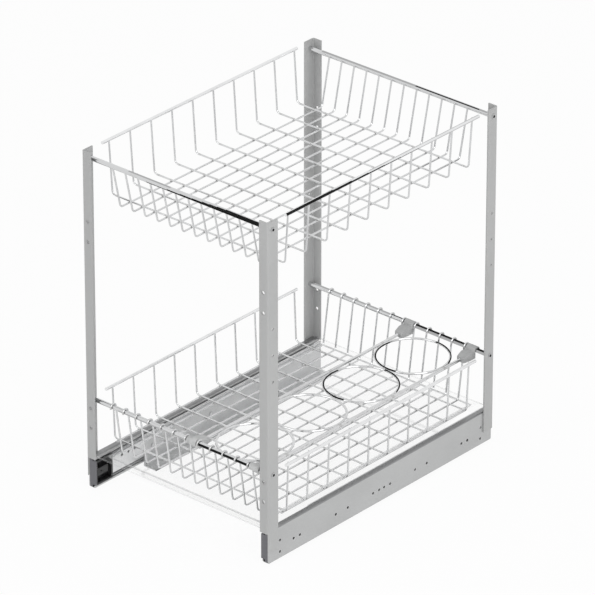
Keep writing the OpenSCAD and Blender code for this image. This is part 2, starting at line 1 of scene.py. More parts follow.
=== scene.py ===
import math
import bpy
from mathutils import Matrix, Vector


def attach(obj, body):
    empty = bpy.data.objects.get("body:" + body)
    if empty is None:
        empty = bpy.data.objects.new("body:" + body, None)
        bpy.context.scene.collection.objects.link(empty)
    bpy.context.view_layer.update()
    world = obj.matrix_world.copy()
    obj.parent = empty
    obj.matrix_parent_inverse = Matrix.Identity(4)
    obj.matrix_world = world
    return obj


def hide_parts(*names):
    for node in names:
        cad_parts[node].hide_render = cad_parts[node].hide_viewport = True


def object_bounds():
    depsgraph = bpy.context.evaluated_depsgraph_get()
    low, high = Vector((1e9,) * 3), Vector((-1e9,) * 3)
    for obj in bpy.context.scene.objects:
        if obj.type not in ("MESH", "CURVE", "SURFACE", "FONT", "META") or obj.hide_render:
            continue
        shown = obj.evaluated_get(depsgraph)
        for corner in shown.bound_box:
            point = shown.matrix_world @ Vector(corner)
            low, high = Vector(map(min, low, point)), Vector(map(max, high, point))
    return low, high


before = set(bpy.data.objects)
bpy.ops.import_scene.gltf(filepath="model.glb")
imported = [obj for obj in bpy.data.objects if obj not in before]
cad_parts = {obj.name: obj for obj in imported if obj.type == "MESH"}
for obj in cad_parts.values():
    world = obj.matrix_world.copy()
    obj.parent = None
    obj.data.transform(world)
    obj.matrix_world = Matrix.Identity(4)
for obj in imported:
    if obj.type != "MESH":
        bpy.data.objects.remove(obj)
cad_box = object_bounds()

MM = 0.001


# ---------- Floor brackets and the rails fixed to them ----------
# Two folded angles of zinc-plated sheet are screwed to the cabinet floor, and the inner
# slide rails, rolled from the same kind of strip, are riveted to their upright flanges.

class Amount:
    """A number that changes over the surface; arithmetic on it adds Math nodes."""

    def __init__(self, nodes, socket):
        self.nodes = nodes
        self.socket = socket

    def math(self, operation, *others, clamp=False):
        values = dict(enumerate((self,) + others))
        return self.nodes.node("ShaderNodeMath", {"operation": operation, "use_clamp": clamp}, values)

    def __add__(self, other):
        return self.math("ADD", other)

    def __mul__(self, other):
        return self.math("MULTIPLY", other)

    def __sub__(self, other):
        return self.math("SUBTRACT", other)

    def __rsub__(self, other):
        return (self * -1) + other

    def __truediv__(self, other):
        return self.math("DIVIDE", other)

    __radd__ = __add__
    __rmul__ = __mul__

    def size(self):
        return self.math("ABSOLUTE")

    def between(self, low, high):
        """0 at low, 1 at high, with a soft start and end."""
        return self.nodes.node(
            "ShaderNodeMapRange", {"interpolation_type": "SMOOTHSTEP"},
            {"Value": self, "From Min": low, "From Max": high})

    def off_grid(self, pitch):
        """Distance from the nearest line of a grid whose lines lie at half pitches."""
        return ((self / pitch).math("FRACT") - 0.5).size() * pitch


class Nodes:
    """The nodes of one material, or of the studio's sky."""

    def __init__(self, owner):
        owner.use_nodes = True
        self.tree = owner.node_tree

    def node(self, kind, settings={}, sockets={}, out=0):
        """Adds a node: its settings first, then the values or links of its sockets."""
        added = self.tree.nodes.new(kind)
        for name, value in settings.items():
            setattr(added, name, value)
        for key, value in sockets.items():
            self.put(value, added.inputs[key])
        return Amount(self, added.outputs[out])

    def put(self, value, socket):
        if isinstance(value, Amount):
            self.tree.links.new(value.socket, socket)
        else:
            socket.default_value = value


class Finish(Nodes):
    """One surface finish: a Principled shader and what varies over it."""

    def __init__(self, name, metallic, coat=0.0, coat_roughness=0.05, ior=1.5):
        self.material = bpy.data.materials.new(name)
        super().__init__(self.material)
        self.shader = self.tree.nodes["Principled BSDF"]
        self.shader.inputs["Metallic"].default_value = metallic
        self.shader.inputs["IOR"].default_value = ior
        self.shader.inputs["Coat Weight"].default_value = coat
        self.shader.inputs["Coat Roughness"].default_value = coat_roughness
        self.place = self.node("ShaderNodeTexCoord", out="Object")
        self.mirrored = self.vector("ABSOLUTE", self.place)
        self.x, self.y, self.z = [
            self.node("ShaderNodeSeparateXYZ", {}, {0: self.place}, out=axis) for axis in "XYZ"]

    def vector(self, operation, *values, out=0):
        return self.node("ShaderNodeVectorMath", {"operation": operation}, dict(enumerate(values)), out)

    def noise(self, size, stretch=(1, 1, 1), detail=2.0, rough=0.5):
        """Cloudy variation around 0.5, its features about size metres across."""
        place = self.vector("MULTIPLY", self.place, tuple(1 / (size * s) for s in stretch))
        return self.node(
            "ShaderNodeTexNoise", {}, {"Vector": place, "Scale": 1.0, "Detail": detail, "Roughness": rough})

    def grains(self, size):
        """Distance to the middle of the nearest grain of a crystal-like pattern."""
        place = self.vector("MULTIPLY", self.place, (1 / size,) * 3)
        return self.node("ShaderNodeTexVoronoi", {}, {"Vector": place, "Scale": 1.0}, out="Distance")

    def near(self, spots, inner, outer):
        """1 within inner of any spot, 0 past outer; spots lie alike in all four corners."""
        mask = None
        for spot in spots:
            away = self.vector("DISTANCE", self.mirrored, spot, out="Value")
            one = away.between(outer, inner)
            mask = one if mask is None else mask.math("MAXIMUM", one)
        return mask

    def mix(self, mask, one, other):
        colours = {0: mask, 6: self.paint(one), 7: self.paint(other)}
        return self.node("ShaderNodeMix", {"data_type": "RGBA"}, colours, out=2)

    @staticmethod
    def paint(colour):
        return colour if isinstance(colour, Amount) else (*colour, 1)

    def finish(self, colour, roughness, height=None, depth=0.0):
        """Links colour and roughness, and a relief of that height pattern, depth metres deep."""
        self.put(colour, self.shader.inputs["Base Color"])
        self.put(roughness, self.shader.inputs["Roughness"])
        if height is not None:
            bump = self.node(
                "ShaderNodeBump", {}, {"Strength": 1.0, "Distance": depth, "Height": height})
            self.put(bump, self.shader.inputs["Normal"])
        return self.material


def give(material, *nodes):
    """Puts a finish on CAD pieces."""
    for name in nodes:
        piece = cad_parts[name]
        piece.data.materials.clear()
        piece.data.materials.append(material)


def zinc_plate(name, dark, light, metallic=1.0, cut_edge=None):
    """Zinc-plated rolled strip: roll lines, cloudy plating and crystal grains.

    cut_edge is the x where the foot of a bracket ends in a bare, sheared edge.
    """
    zinc = Finish(name, metallic)
    roll_lines = zinc.noise(0.6 * MM, (1, 25, 1), detail=3)
    clouds = zinc.noise(35 * MM, detail=4)
    crystals = zinc.grains(2.2 * MM)
    handled = zinc.noise(12 * MM, (1, 3, 1), detail=3).between(0.55, 0.75)
    tone = (roll_lines * 0.35 + clouds * 0.65 + crystals * 0.12).between(0.3, 0.8)
    colour = zinc.mix(handled * 0.35, zinc.mix(tone, dark, light), dark)
    if cut_edge:
        at_edge = zinc.x.size().between(cut_edge + 1.2 * MM, cut_edge + 0.5 * MM)
        on_foot = zinc.z.between(3 * MM, 2 * MM)
        colour = zinc.mix(at_edge * on_foot * 0.85, colour, (0.10, 0.10, 0.105))
    roughness = clouds * 0.12 + roll_lines * 0.10 + handled * 0.08 + 0.22
    return zinc.finish(colour, roughness, roll_lines * 0.7 + crystals * 0.3, 0.03 * MM)


zinc_dark, zinc_light = (0.62, 0.625, 0.63), (0.76, 0.765, 0.77)
give(zinc_plate("inner rail zinc", zinc_dark, zinc_light), "inner_rail_left", "inner_rail_right")
bracket_zinc = zinc_plate("bracket zinc", (0.66, 0.665, 0.67), (0.78, 0.785, 0.79), 0.35, cut_edge=135.9 * MM)
give(bracket_zinc, "floor_bracket_left", "floor_bracket_right")


# ---------- Bracket rivets ----------
# Six semi-tubular steel rivets, set by a press: their heads are a little brighter than the
# strip, with a rubbed ring where the tool closed them.

rivet_steel = Finish("pressed rivets", metallic=1.0)
rivet_spots = [(159.4 * MM, y * MM, 28.5 * MM) for y in (0, 127.45, 208)]
tool_ring = rivet_steel.near(rivet_spots, 2.2 * MM, 2.9 * MM)
scuffs = rivet_steel.noise(0.8 * MM, detail=3)
rivet_colour = rivet_steel.mix(tool_ring * 0.6 + scuffs * 0.2, (0.50, 0.505, 0.51), (0.68, 0.685, 0.69))
give(rivet_steel.finish(rivet_colour, scuffs * 0.15 + 0.22, scuffs, 0.03 * MM), "bracket_rivets")


# ---------- Middle rails and ball cages ----------
# The middle rails run between the fixed and the moving rails. They and the thin ball cages
# are darker strip with a film of grease, which collects near the ball tracks.

slide_middle, track_height = 29.5 * MM, 16.5 * MM


def greased_strip(name, dark, light):
    """Rolled strip with lengthwise roll lines and grease, most of it beside the ball tracks."""
    strip = Finish(name, metallic=1.0, coat=0.25, coat_roughness=0.3)
    roll_lines = strip.noise(0.7 * MM, (1, 30, 1), detail=3)
    film = strip.noise(20 * MM, (1, 5, 1), detail=4).between(0.4, 0.7)
    from_track = ((strip.z - slide_middle).size() - track_height).size()
    beside_track = from_track.between(6 * MM, 1 * MM)
    grease = (film * 0.5 + beside_track * 0.5).between(0.2, 0.9)
    colour = strip.mix(grease, strip.mix(roll_lines, dark, light), dark)
    roughness = roll_lines * 0.15 - grease * 0.08 + 0.3
    return strip.finish(colour, roughness, roll_lines, 0.02 * MM)


give(greased_strip("middle rail strip", (0.20, 0.205, 0.21), (0.33, 0.335, 0.345)),
     "middle_rail_left", "middle_rail_right")
give(greased_strip("cage strip", (0.26, 0.26, 0.26), (0.40, 0.40, 0.39)),
     "outer_cage_left", "outer_cage_right", "inner_cage_left", "inner_cage_right")


# ---------- Balls ----------
# Ground bearing steel, almost a mirror, with a thin streaky film of grease.

ball_steel = Finish("bearing steel", metallic=1.0)
smear = ball_steel.noise(1.2 * MM, (1, 2, 1), detail=3).between(0.4, 0.7)
give(ball_steel.finish(ball_steel.mix(smear, (0.70, 0.70, 0.70), (0.52, 0.51, 0.49)), smear * 0.2 + 0.06),
     "outer_balls_left", "outer_balls_right", "inner_balls_left", "inner_balls_right")


# ---------- Outer rails ----------
# The C-shaped rails that move with the posts: light zinc strip with punched holes. The
# upper and lower rolled edges are painted dark, a painted reflection, and the hole rims are bright.

outer_zinc = Finish("outer rail zinc", metallic=0.8)
roll_lines = outer_zinc.noise(0.6 * MM, (1, 30, 1), detail=3)
clouds = outer_zinc.noise(50 * MM, (1, 2, 1), detail=4)
crystals = outer_zinc.grains(2.5 * MM)
slide_half = 26.5 * MM
# Painted reflection: the upper and lower rolled edges are painted dark and made glossier.
painted_dark_flange_band = (outer_zinc.z - slide_middle).size().between(slide_half - 2.2 * MM, slide_half - 0.8 * MM)
web_x = 174 * MM
hole_spots = [(web_x, y * MM, 23.8 * MM) for y in (5.5, 19, 75, 101.5, 180, 193.5)]
hole_spots += [(web_x, 223 * MM, z * MM) for z in (14.4, 33.2)]
punched = outer_zinc.near(hole_spots, 2.4 * MM, 3.4 * MM)
strip_tone = (roll_lines * 0.3 + clouds * 0.6 + crystals * 0.15).between(0.25, 0.85)
web_colour = outer_zinc.mix(strip_tone, (0.47, 0.475, 0.475), (0.55, 0.555, 0.555))
painted_band_colour = outer_zinc.mix(painted_dark_flange_band, web_colour, (0.27, 0.272, 0.275))
rail_colour = outer_zinc.mix(punched * 0.5, painted_band_colour, (0.68, 0.68, 0.68))
rail_roughness = clouds * 0.10 + roll_lines * 0.08 - painted_dark_flange_band * 0.12 + 0.38
give(outer_zinc.finish(rail_colour, rail_roughness, roll_lines * 0.7 + crystals * 0.3, 0.03 * MM),
     "outer_rail_left", "outer_rail_right")


# ---------- Front stops ----------
# Moulded black blocks pressed into the rail ends, with a tongue for the latch pin in a
# pocket. The faces carry the fine texture of the mould and are rubbed where they meet.

stop_plastic = Finish("stop plastic", metallic=0.0)
mould_texture = stop_plastic.noise(0.5 * MM, detail=4, rough=0.7)
rubbed = stop_plastic.noise(6 * MM, (1, 1, 2), detail=4).between(0.45, 0.75)
# Painted sheen: the front face is painted a lighter grey than the black body.
painted_sheen_front = stop_plastic.y.between(-245.5 * MM, -247.5 * MM)
stop_colour = stop_plastic.mix(rubbed * 0.5, (0.012, 0.012, 0.013), (0.035, 0.035, 0.037))
painted_sheen_colour = stop_plastic.mix(painted_sheen_front * 0.85, stop_colour, (0.165, 0.165, 0.18))
give(stop_plastic.finish(painted_sheen_colour, rubbed * 0.15 + mould_texture * 0.1 + 0.36, mould_texture, 0.06 * MM),
     "front_stop_left", "front_stop_right")


# ---------- Posts ----------
# Four angles folded from 2 mm steel sheet and powder coated in light grey. The coat has a
# slight orange peel and is rubbed where screws are fitted.

post_coat = Finish("post powder coat", metallic=0.0, coat=0.15, coat_roughness=0.25)
orange_peel = post_coat.noise(1.6 * MM, detail=2)
speckle = post_coat.noise(0.4 * MM, detail=3, rough=0.7)
drift = post_coat.noise(90 * MM, (1, 1, 2.5), detail=3)
screw_spots = [(166.75 * MM, 250 * MM, z * MM) for z in (104, 136, 406, 438)]
screw_spots += [(176 * MM, 240 * MM, z * MM) for z in (147, 536)]
screw_rub = post_coat.near(screw_spots, 3 * MM, 5.5 * MM) * speckle.between(0.35, 0.6)
handled = post_coat.noise(20 * MM, (1, 1, 4), detail=5, rough=0.6).between(0.58, 0.72)
foot_dust = post_coat.z.between(90 * MM, 30 * MM) * post_coat.noise(6 * MM, detail=4).between(0.4, 0.7)
coat_tone = (drift * 0.8 + speckle * 0.2).between(0.25, 0.75)
coat_colour = post_coat.mix(coat_tone, (0.430, 0.434, 0.433), (0.476, 0.480, 0.478))
coat_colour = post_coat.mix(handled * 0.25 + foot_dust * 0.25, coat_colour, (0.42, 0.42, 0.405))
coat_colour = post_coat.mix(screw_rub * 0.5, coat_colour, (0.33, 0.33, 0.33))
coat_roughness = orange_peel * 0.08 + handled * 0.12 + foot_dust * 0.15 + 0.34
give(post_coat.finish(coat_colour, coat_roughness, orange_peel * 0.8 + speckle * 0.2, 0.06 * MM),
     "post_front_left", "post_front_right", "post_back_left", "post_back_right")


# ---------- Cross rods ----------
# Four ground and bright-chromed rods with threaded ends between the posts. The chrome is a
# mirror with faint lengthwise polishing lines and a few fingerprints.

rod_chrome = Finish("rod chrome", metallic=1.0)
polish_lines = rod_chrome.noise(0.5 * MM, (60, 1, 1), detail=3)
prints = rod_chrome.noise(14 * MM, (2, 1, 1), detail=5, rough=0.6).between(0.55, 0.7)
rod_colour = rod_chrome.mix(prints * 0.5 + polish_lines * 0.15, (0.65, 0.655, 0.66), (0.57, 0.57, 0.57))
give(rod_chrome.finish(rod_colour, prints * 0.10 + polish_lines * 0.03 + 0.045, polish_lines, 0.008 * MM),
     "upper_front_rod", "upper_back_rod", "lower_front_rod", "lower_back_rod")


# ---------- Rod screws ----------
# Eight low-headed zinc screws, driven by a hex key: the heads are bright, and the socket of
# each is painted as a near-black disc on the head, a painted shade for the hollow.

screw_zinc = Finish("screw zinc", metallic=0.3)
turned = screw_zinc.noise(0.5 * MM, detail=4)
flat_place = screw_zinc.vector("MULTIPLY", screw_zinc.mirrored, (0, 1, 1))
low_screw, high_screw = [
    screw_zinc.vector("DISTANCE", flat_place, (0, 240 * MM, z), out="Value") for z in (147 * MM, 536 * MM)]
from_axis = low_screw.math("MINIMUM", high_screw)
# Painted shade: a near-black disc over the hex socket on each head.
socket = from_axis.between(2.5 * MM, 2.1 * MM) * screw_zinc.x.size().between(175.5 * MM, 175.9 * MM)
screw_colour = screw_zinc.mix(turned, (0.50, 0.505, 0.51), (0.60, 0.605, 0.61))
screw_colour = screw_zinc.mix(socket, screw_colour, (0.008, 0.008, 0.008))
give(screw_zinc.finish(screw_colour, turned * 0.15 + socket * 0.2 + 0.3, turned, 0.02 * MM), "rod_screws")


# ---------- Wire baskets ----------
# Drawn steel wire, bent, resistance-welded at every crossing and chromed. The welds are
# slightly sunk and carry a duller, cloudy chrome than the clear wire between them.

def basket_chrome(name, x_pitch, y_pitch, dark, light):
    """Chromed wire, with a duller weld at each crossing of a grid of those pitches."""
    wire = Finish(name, metallic=1.0)
    drawn = wire.noise(0.7 * MM, (3, 3, 3), detail=3)
    haze = wire.noise(30 * MM, detail=4).between(0.35, 0.75)
    across, along = wire.x.off_grid(x_pitch), wire.y.off_grid(y_pitch)
    from_weld = (across * across + along * along).math("SQRT")
    weld = from_weld.between(3.6 * MM, 1.6 * MM) * wire.noise(1.1 * MM, detail=3).between(0.3, 0.6)
    colour = wire.mix(haze * 0.4 + drawn * 0.2, light, dark)
    colour = wire.mix(weld * 0.55, colour, (0.40, 0.395, 0.385))
    return wire.finish(colour, haze * 0.08 + weld * 0.22 + drawn * 0.04 + 0.10, drawn + weld, 0.02 * MM)


long_pitch, cross_pitch, rims_apart = 263 * MM / 11, 400 * MM / 9, 347 * MM
wire_chrome = basket_chrome(
    "wire chrome", long_pitch, cross_pitch, (0.52, 0.52, 0.525), (0.70, 0.705, 0.71))
give(wire_chrome, "upper_basket_cross_wires", "upper_basket_long_wires",
     "lower_basket_cross_wires", "lower_basket_long_wires", "lower_basket_edge_wires")
rim_chrome = basket_chrome(
    "rim chrome", 2 * rims_apart, cross_pitch, (0.68, 0.68, 0.685), (0.82, 0.825, 0.83))
give(rim_chrome, "upper_basket_rims", "lower_basket_rims")


# ---------- Bottle rack ----------
# Four rings of thicker wire welded between two round rails, all bright chrome. Each ring is
# closed by a butt weld, and sits against the rails at a dull weld spot.

rack_chrome = Finish("rack chrome", metallic=1.0)
ring_drawn = rack_chrome.noise(0.7 * MM, (3, 3, 3), detail=3)
ring_haze = rack_chrome.noise(25 * MM, detail=4).between(0.4, 0.75)
rack_left, rack_right = 23.91 * MM, 143.45 * MM
ring_pitch = 116.31 * MM
beside_rail = (rack_chrome.x - rack_left).size().math("MINIMUM", (rack_chrome.x - rack_right).size())
beside_ring = rack_chrome.y.off_grid(ring_pitch)
ring_weld = beside_rail.between(4.5 * MM, 2 * MM) * beside_ring.between(4.07 * MM, 1.745 * MM)
ring_colour = rack_chrome.mix(ring_haze * 0.4 + ring_drawn * 0.2, (0.70, 0.705, 0.71), (0.56, 0.56, 0.56))
ring_colour = rack_chrome.mix(ring_weld * 0.5, ring_colour, (0.40, 0.395, 0.385))
give(rack_chrome.finish(ring_colour, ring_haze * 0.08 + ring_weld * 0.2 + 0.07, ring_drawn, 0.01 * MM),
     "rack_rails", "rack_rings")


# ---------- Rack clips ----------
# Four grey nylon mouldings: a saddle drops over the lower rod, and the block beside it
# holds the end of a rack rail. Moulded with soft edges and spark-textured faces.

clip_nylon = Finish("clip nylon", metallic=0.0)
spark_texture = clip_nylon.noise(0.4 * MM, detail=4, rough=0.7)
flow = clip_nylon.noise(8 * MM, (1, 1, 2), detail=4)
clip_colour = clip_nylon.mix(flow.between(0.3, 0.7), (0.42, 0.425, 0.425), (0.48, 0.485, 0.485))
# Painted highlight: the two front clips are painted paler, in cloudy patches.
painted_light_front = clip_nylon.y.between(-150 * MM, -212 * MM) * flow.between(0.1, 0.6)
clip_colour = clip_nylon.mix(painted_light_front, clip_colour, (0.60, 0.605, 0.605))
clip_finish = clip_nylon.finish(clip_colour, spark_texture * 0.15 + 0.42, spark_texture, 0.07 * MM)


def start(add, **where):
    """Adds a primitive on its own and opens it in edit mode with nothing selected."""
    if bpy.context.object and bpy.context.object.mode == "EDIT":
        bpy.ops.object.mode_set(mode="OBJECT")
    bpy.ops.object.select_all(action="DESELECT")
    add(**where)
    bpy.ops.object.transform_apply(location=True, rotation=True, scale=True)
    bpy.ops.object.mode_set(mode="EDIT")
    bpy.ops.mesh.select_all(action="DESELECT")
    return bpy.context.object


def choose(piece, kind, wanted):
    """Selects the faces, edges or vertices whose middle (and normal, for faces) are wanted."""
    bpy.ops.mesh.select_mode(type=kind)
    bpy.ops.mesh.select_all(action="DESELECT")
    bpy.ops.object.mode_set(mode="OBJECT")
    mesh = piece.data
    if kind == "FACE":
        for face in mesh.polygons:
            face.select = wanted(face.center, face.normal)
    elif kind == "EDGE":
        for edge in mesh.edges:
            ends = [mesh.vertices[v].co for v in edge.vertices]
            edge.select = wanted((ends[0] + ends[1]) / 2, ends[1] - ends[0])
    else:
        for vertex in mesh.vertices:
            vertex.select = wanted(vertex.co)
    bpy.ops.object.mode_set(mode="EDIT")


def extrude(*way):
    """Pulls new walls out of the selected faces or edges."""
    bpy.ops.mesh.extrude_region_move(TRANSFORM_OT_translate={"value": way})


def soften(piece, width, segments=2, angle=35):
    """Rounds the edges that are sharper than angle."""
    if piece.mode == "EDIT":
        bpy.ops.object.mode_set(mode="OBJECT")
    rounded = piece.modifiers.new("soft edges", "BEVEL")
    rounded.width = width
    rounded.segments = segments
    rounded.limit_method = "ANGLE"
    rounded.angle_limit = math.radians(angle)
    bpy.ops.object.modifier_apply(modifier=rounded.name)
    bpy.ops.object.shade_smooth_by_angle(angle=math.radians(angle))


rod_y, rod_z, rail_z = -240 * MM, 147 * MM, 140 * MM
clip_width, clip_wall, saddle_r = 18 * MM, 2.2 * MM, 3.8 * MM
leg_drop, block_out, block_in = 3 * MM, 12 * MM, -212 * MM
block_low, nose_taper, nose_slope = 135.4 * MM, 0.74, 3 * MM
clip = start(
    bpy.ops.mesh.primitive_cube_add, size=1, scale=(clip_width, clip_wall, leg_drop),
    location=(0, rod_y - saddle_r - clip_wall / 2, rod_z - leg_drop / 2))
choose(clip, "FACE", lambda at, out: out.z > 0.9)
bpy.ops.mesh.spin(steps=12, angle=math.pi, center=(0, rod_y, rod_z), axis=(1, 0, 0))
choose(clip, "FACE", lambda at, out: at.y > rod_y and out.z < -0.9 and abs(at.z - rod_z) < 0.2 * MM)
extrude(0, 0, block_low - rod_z)
choose(clip, "FACE", lambda at, out: out.y > 0.9 and at.z < rod_z and at.y > rod_y + saddle_r)
extrude(0, block_out - clip_wall, 0)
extrude(0, block_in - rod_y - saddle_r - block_out, 0)
bpy.ops.transform.resize(value=(nose_taper, 1, 1), center_override=(0, 0, 0))
choose(clip, "VERT", lambda at: at.y > block_in - 0.1 * MM and at.z > rail_z)
bpy.ops.transform.translate(value=(0, 0, -nose_slope))
bpy.ops.mesh.select_all(action="SELECT")
bpy.ops.mesh.remove_doubles(threshold=0.01 * MM)
bpy.ops.mesh.normals_make_consistent(inside=False)
soften(clip, 0.7 * MM)
for x, side in ((rack_left, "left"), (rack_right, "right")):
    for front, end in ((1, "front"), (-1, "back")):
        copy = bpy.data.objects.new(f"clip_{end}_{side}", clip.data.copy())
        bpy.context.scene.collection.objects.link(copy)
        copy.scale = (1, front, 1)
        copy.location = (x, 0, 0)
        bpy.ops.object.select_all(action="DESELECT")
        copy.select_set(True)
        bpy.context.view_layer.objects.active = copy
        bpy.ops.object.transform_apply(location=True, rotation=True, scale=True)
        if front < 0:
            copy.data.flip_normals()
        copy.data.materials.append(clip_finish)
        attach(copy, "bottle_rack")
        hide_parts("rack_clips")
bpy.data.objects.remove(clip)


# ---------- Drip tray ----------
# One sheet of clear plastic, vacuum-formed over a mould into a shallow trough with a flat
# rim that lies on the slide rails. Folds and cut edges are painted greyer and less clear: painted shade for
# how they catch the light.

tray_top, tray_floor = 57.55 * MM, 15 * MM
rim_half, open_half = (151.95 * MM, 246.5 * MM), (146.95 * MM, 233.5 * MM)
floor_half = (126.95 * MM, 189.5 * MM)
ear_start, ear_half = 216.5 * MM, 172.5 * MM
sheet = 1.5 * MM
tray = start(bpy.ops.mesh.primitive_plane_add, size=2, location=(0, 0, tray_top))
bpy.ops.mesh.select_all(action="SELECT")
bpy.ops.transform.resize(value=(*rim_half, 1), center_override=(0, 0, tray_top))
for y in (-ear_start, ear_start):
    bpy.ops.mesh.select_all(action="SELECT")
    bpy.ops.mesh.bisect(plane_co=(0, y, tray_top), plane_no=(0, 1, 0))
bpy.ops.mesh.select_all(action="SELECT")
extrude(0, 0, 0)
bpy.ops.transform.resize(
    value=(open_half[0] / rim_half[0], open_half[1] / rim_half[1], 1), center_override=(0, 0, tray_top))
extrude(0, 0, tray_floor - tray_top)
bpy.ops.transform.resize(
    value=(floor_half[0] / open_half[0], floor_half[1] / open_half[1], 1), center_override=(0, 0, tray_floor))
for hand in (-1, 1):
    choose(tray, "EDGE", lambda at, along: at.x * hand > rim_half[0] - MM and abs(at.y) > ear_start)
    extrude(hand * (ear_half - rim_half[0]), 0, 0)
choose(tray, "VERT", lambda at: abs(at.x) > ear_half - MM)
bpy.ops.mesh.bevel(affect="VERTICES", offset=4 * MM, segments=3)
choose(tray, "EDGE", lambda at, along: tray_floor + MM < at.z < tray_top - MM and abs(at.y) > 200 * MM
       and abs(at.x) > 130 * MM)
bpy.ops.mesh.bevel(offset=15 * MM, segments=6)
soften(tray, 3 * MM, segments=3, angle=30)
wall = tray.modifiers.new("wall", "SOLIDIFY")
wall.thickness = sheet
wall.offset = -1
bpy.ops.object.modifier_apply(modifier=wall.name)
soften(tray, 0.3 * MM, segments=2, angle=60)
tray.name = "drip_tray_sheet"

clear_sheet = Finish("clear tray sheet", metallic=0.0, ior=1.45)
draw_marks = clear_sheet.noise(30 * MM, (1, 1, 4), detail=4)
x_off, y_off = clear_sheet.x.size(), clear_sheet.y.size()
on_rim = clear_sheet.z.between(54.5 * MM, 55.5 * MM)
side_fold = (x_off - open_half[0]).size().between(2.2 * MM, 0.8 * MM)
end_fold = (y_off - open_half[1]).size().between(2.2 * MM, 0.8 * MM)
end_cut = y_off.between(rim_half[1] - 1.2 * MM, rim_half[1] - 0.4 * MM)
inside_ends = x_off.between(open_half[0] + MM, open_half[0] - MM)
folds = (side_fold * y_off.between(open_half[1] + MM, open_half[1] - MM)).math(
    "MAXIMUM", end_fold * inside_ends).math("MAXIMUM", end_cut) * on_rim
floor_fold = clear_sheet.z.between(15.3 * MM, 16.2 * MM) * clear_sheet.z.between(20 * MM, 17 * MM)
# Painted shade: folds and cut edges are painted grey and made more opaque.
painted_fold_shade = folds.math("MAXIMUM", floor_fold * 0.5)
sheet_colour = clear_sheet.mix(draw_marks.between(0.3, 0.7), (0.90, 0.91, 0.915), (0.95, 0.955, 0.96))
sheet_colour = clear_sheet.mix(painted_fold_shade * 0.6, sheet_colour, (0.66, 0.67, 0.68))
clear_sheet.put(painted_fold_shade * 0.30 + draw_marks * 0.02 + 0.012, clear_sheet.shader.inputs["Alpha"])
tray.data.materials.append(
    clear_sheet.finish(sheet_colour, draw_marks * 0.06 + 0.05, draw_marks, 0.0002))
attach(tray, "pull_out_frame")
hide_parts("drip_tray")


# ---------- Studio ----------
# A pale paper floor, a soft even light all round, a large lamp from the right and a smaller
# one from the front.

floor_z = cad_box[0][2]
bpy.ops.object.select_all(action="DESELECT")
bpy.ops.mesh.primitive_plane_add(size=60, location=(0, 0, floor_z - 0.0005))
studio_floor = bpy.context.object
studio_floor.name = "studio_floor"
floor_paper = Finish("floor paper", metallic=0.0)
paper_tone = floor_paper.noise(0.8, detail=2)
floor_paper.finish(
    floor_paper.mix(paper_tone, (0.95, 0.95, 0.95), (0.97, 0.97, 0.97)), paper_tone * 0.1 + 0.8)
floor_paper.shader.inputs["Specular IOR Level"].default_value = 0.0


def seen_straight(nodes):
    """1 for what the camera sees directly, in a mirror or through clear sheet."""
    camera_ray, glossy_ray, clear_ray = [
        nodes.node("ShaderNodeLightPath", out=f"Is {kind} Ray")
        for kind in ("Camera", "Glossy", "Transmission")]
    return (camera_ray + glossy_ray).math("ADD", clear_ray, clamp=True)


white = floor_paper.node("ShaderNodeEmission", {}, {"Color": (1, 1, 1, 1), "Strength": 1.0})
lit = Amount(floor_paper, floor_paper.shader.outputs[0])
share_of_white = seen_straight(floor_paper) * 0.94      # the rest keeps the object's shadow
paper = floor_paper.node("ShaderNodeMixShader", {}, {0: share_of_white, 1: lit, 2: white})
floor_paper.put(paper, floor_paper.tree.nodes["Material Output"].inputs["Surface"])
studio_floor.data.materials.append(floor_paper.material)

soft_light = 0.58
studio = bpy.data.worlds.new("studio")
bpy.context.scene.world = studio
sky = Nodes(studio)
level = seen_straight(sky) * (1 - soft_light) + soft_light
sky.put(level, sky.tree.nodes["Background"].inputs["Strength"])
sky.put((1, 1, 1, 1), sky.tree.nodes["Background"].inputs["Color"])


def soft_box(name, place, aim, size, power):
    """A large rectangular lamp at place, turned to aim."""
    lamp = bpy.data.lights.new(name, "AREA")
    lamp.shape = "RECTANGLE"
    lamp.size, lamp.size_y = size
    lamp.energy = power
    holder = bpy.data.objects.new(name, lamp)
    bpy.context.scene.collection.objects.link(holder)
    holder.location = place
    holder.rotation_euler = (Vector(aim) - Vector(place)).to_track_quat("-Z", "Y").to_euler()


middle = (0, 0, 0.27)
soft_box("right_box", (3.6, -1.4, 2.2), middle, (2.4, 2.4), 62)
soft_box("front_box", (-1.2, -4.2, 2.4), middle, (2.6, 2.0), 34)


# ---------- Flags ----------
# Strips of black and grey cloth held close beside the rods, the right-hand rim and the two
# back rings. Only polished metal sees them, and mirrors them as the dark streaks.

azimuth, elevation = math.radians(41.193), math.radians(27.423)
to_camera = Vector((math.sin(azimuth) * math.cos(elevation), -math.cos(azimuth) * math.cos(elevation),
                    math.sin(elevation)))
to_right = Vector((math.cos(azimuth), math.sin(azimuth), 0))


def flag_cloth(name, shade):
    """Matt cloth that glows at one even shade, whatever light falls on it."""
    cloth = Finish(name, metallic=0.0)
    nap = cloth.noise(10 * MM)
    cloth.finish(cloth.mix(nap, (0.006, 0.006, 0.006), (0.012, 0.012, 0.012)), nap * 0.1 + 0.8)
    cloth.shader.inputs["Specular IOR Level"].default_value = 0.0
    cloth.shader.inputs["Emission Color"].default_value = (shade, shade, shade, 1)
    cloth.shader.inputs["Emission Strength"].default_value = 1.0
    return cloth.material


black_cloth, grey_cloth = flag_cloth("black flag cloth", 0.02), flag_cloth("grey flag cloth", 0.62)
black_off, grey_off = 0.7 * MM, 0.9 * MM


